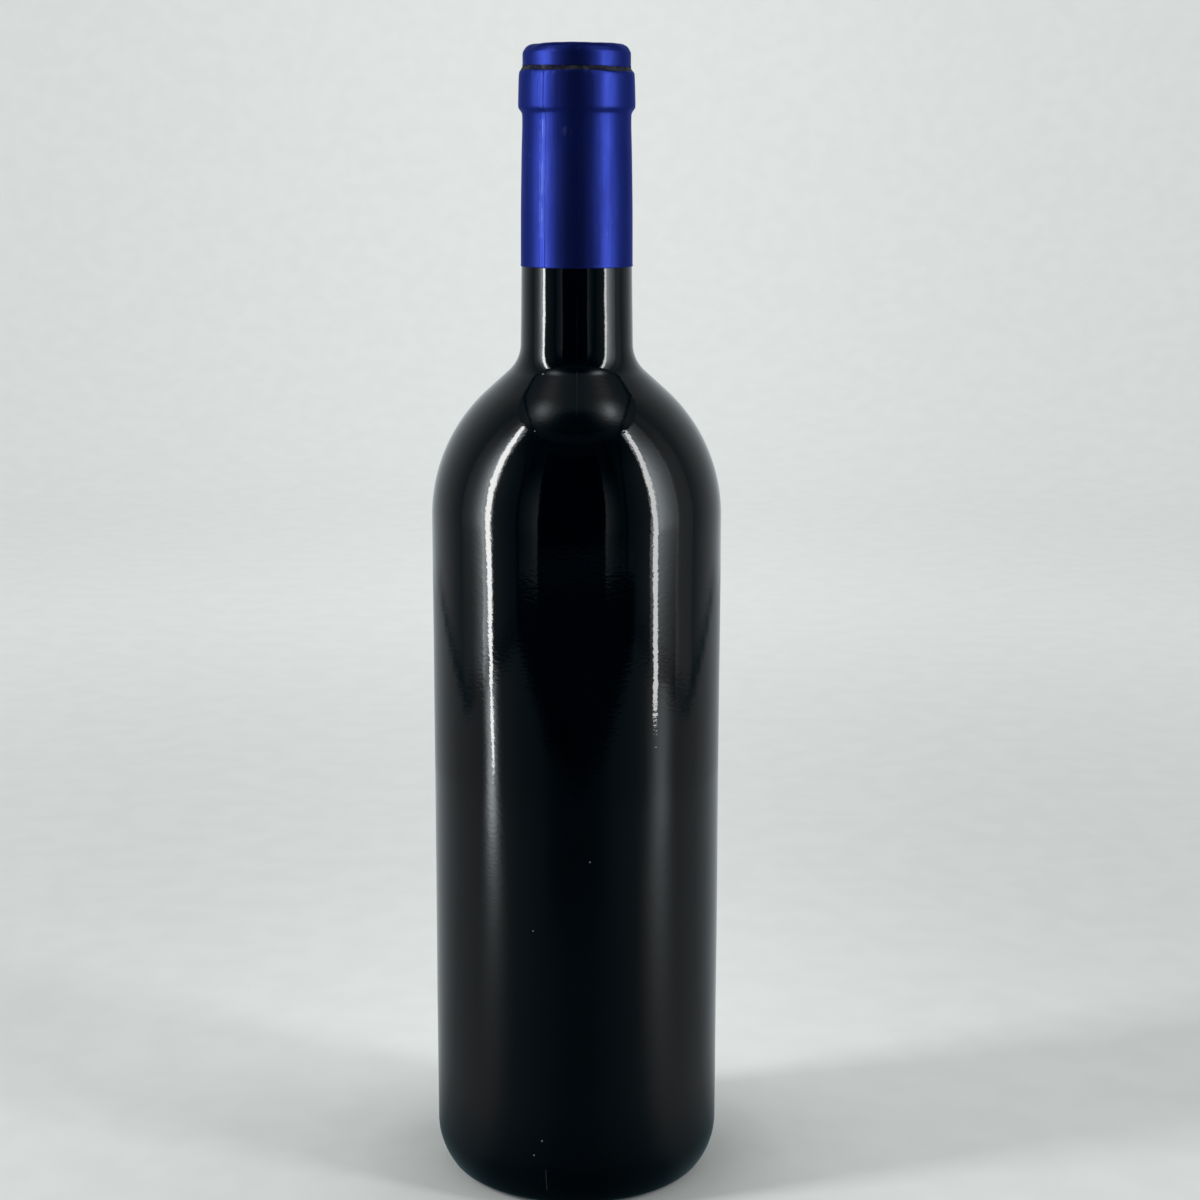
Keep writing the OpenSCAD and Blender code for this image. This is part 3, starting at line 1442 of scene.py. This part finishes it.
    def floor(self) -> None:
        """Build the pale floor and the sweep behind and around it."""
        outline = joined(
            straight((0.0005, 0.0), (0.3, 0.0), 0.02),
            straight((0.3, 0.0), (self.floor_r, 0.0), 0.05),
            arc((self.floor_r, self.sweep_r), self.sweep_r, -90, 0, 4),
            straight(
                (self.floor_r + self.sweep_r, self.sweep_r),
                (self.floor_r + self.sweep_r, self.wall_top_z),
                0.2,
            ),
        )
        azimuths = np.linspace(-180, 180, 181)
        made = self.sheet("floor", outline, azimuths, self.sweep_glow)
        bench = Bench("pale_paper")
        fibre = bench.noise((60.0, 60.0, 60.0), 0.0, 1.0)
        paper = bench.shader(
            Base_Color=bench.blend(bench.spread(fibre, 0.3, 0.7, 0.0, 1.0), PAPER_LOW, PAPER_HIGH),
            Roughness=0.9,
            Specular_IOR_Level=0.0,
            Emission_Color=PAPER_LIGHT,
            Emission_Strength=bench.node("ShaderNodeAttribute", attribute_name="glow").outputs["Fac"],
        )
        either = bench.node("ShaderNodeMixShader")
        below = bench.node("ShaderNodeNewGeometry").outputs["Backfacing"]
        clear = bench.node("ShaderNodeBsdfTransparent").outputs[0]
        for socket, value in zip(either.inputs, (below, paper, clear)):
            bench.feed(socket, value)
        made.data.materials.append(bench.finish(either.outputs[0], "NONE"))
        self.show(made, Rays.SEEN_AND_LIT)

    def tent(self) -> None:
        """Build the tent's wall, floor and ceiling, which only mirrored rays meet."""
        fine = np.linspace(-180, 180, 2 * 360 + 1)
        heights = np.linspace(0.0, self.tent_top_z, 96)
        wall = np.stack([np.full_like(heights, self.tent_r), heights], axis=1)
        reach = np.linspace(0.024, self.tent_r, 40)
        ground = np.stack([reach, np.full_like(reach, 0.4 * MM)], axis=1)
        reach = np.linspace(0.001, self.tent_r, 60)
        lid = np.stack([reach, np.full_like(reach, self.tent_top_z)], axis=1)
        parts = (
            ("tent_wall", wall, fine, self.wall_glow),
            ("tent_ground", ground, fine[::3], self.floor_glow),
            ("tent_ceiling", lid, fine[::4], self.ceiling_glow),
        )
        for name, rows, azimuths, glow in parts:
            made = self.sheet(name, rows, azimuths, glow)
            made.data.materials.append(self.glowing(name))
            self.show(made, Rays.MIRRORED_ONLY)

    def strip(self, plan: Strip) -> None:
        """Build one upright strip light that shines inwards.

        Args:
            plan: Name, brightness and edges of the strip.
        """
        points, faces = [], []
        for row, (height, start, end) in enumerate(plan.edge):
            points += [on_wall(azimuth, self.tent_r - 3 * MM, height) for azimuth in (start, end)]
            if row:
                faces.append((2 * row - 2, 2 * row, 2 * row + 1, 2 * row - 1))
        made = new_piece(plan.name, points, faces, smooth=False)
        made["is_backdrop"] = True
        bench = Bench(plan.name)
        lamp = bench.node("ShaderNodeEmission")
        back = bench.node("ShaderNodeNewGeometry").outputs["Backfacing"]
        bench.feed(lamp.inputs["Strength"], bench.spread(back, 0.0, 1.0, plan.bright, 0.0))
        made.data.materials.append(bench.finish(lamp.outputs[0], "FRONT"))
        self.show(made, Rays.MIRRORED_ONLY)

    def lamp(self, plan: Lamp) -> None:
        """Hang one soft lamp that lights the paper and casts the bottle's shadow.

        Args:
            plan: Name, place, size and power of the lamp.
        """
        data = bpy.data.lights.new(plan.name, "AREA")
        data.shape = "RECTANGLE"
        data.size = plan.wide
        data.size_y = plan.tall
        data.energy = plan.power
        made = bpy.data.objects.new(plan.name, data)
        made.location = on_wall(plan.azimuth, plan.away, plan.height)
        aim = Vector((0.0, 0.0, plan.aim_z)) - made.location
        made.rotation_mode = "QUATERNION"
        made.rotation_quaternion = aim.to_track_quat("-Z", "Y")
        made.visible_camera = False
        made.visible_glossy = False
        bpy.context.scene.collection.objects.link(made)

    def surround(self) -> None:
        """Fill the air with the soft light of the tent."""
        world = bpy.data.worlds.new("soft_light")
        world.use_nodes = True
        sky = world.node_tree.nodes["Background"]
        sky.inputs["Color"].default_value = (0.985, 1.0, 0.995, 1.0)
        sky.inputs["Strength"].default_value = self.ambient
        bpy.context.scene.world = world

    def build(self) -> None:
        """Set up the whole studio."""
        self.floor()
        self.tent()
        for plan in self.strips:
            self.strip(plan)
        for plan in self.lamps:
            self.lamp(plan)
        self.surround()
        bpy.context.scene.view_settings.view_transform = "Standard"


@dataclass(frozen=True)
class Viewpoint:
    """Camera in front of the bottle, looking slightly down."""

    distance: float = 0.620
    height: float = 0.27323
    down: float = 10.683
    aside: float = 0.567
    roll: float = 0.103
    lens_mm: float = 71.43
    sensor_mm: float = 36.0

    def build(self) -> None:
        """Set the camera up and make it the scene's own."""
        data = bpy.data.cameras.new("camera")
        data.lens = self.lens_mm
        data.sensor_width = self.sensor_mm
        data.clip_start = 0.01
        data.clip_end = 20.0
        low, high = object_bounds()
        middle = (low + high) / 2
        camera = bpy.data.objects.new("camera", data)
        camera.location = (middle[0], middle[1] - self.distance, self.height)
        camera.rotation_mode = "QUATERNION"
        turn = Euler((math.radians(90 - self.down), 0.0, math.radians(-self.aside)))
        lean = Quaternion((0, 0, 1), math.radians(self.roll))
        camera.rotation_quaternion = turn.to_quaternion() @ lean
        bpy.context.scene.collection.objects.link(camera)
        bpy.context.scene.camera = camera


def main() -> None:
    """Build the bottle and its studio in order, and report each piece."""
    logging.basicConfig(level=logging.INFO, format="%(name)s: %(message)s")
    Viewpoint().build()
    for assembly in (GlassBottle(), Capsule()):
        for piece in assembly.build():
            LOG.info("%s: %d faces", piece.name, len(piece.data.polygons))
    Studio().build()


if __name__ == "__main__":
    main()
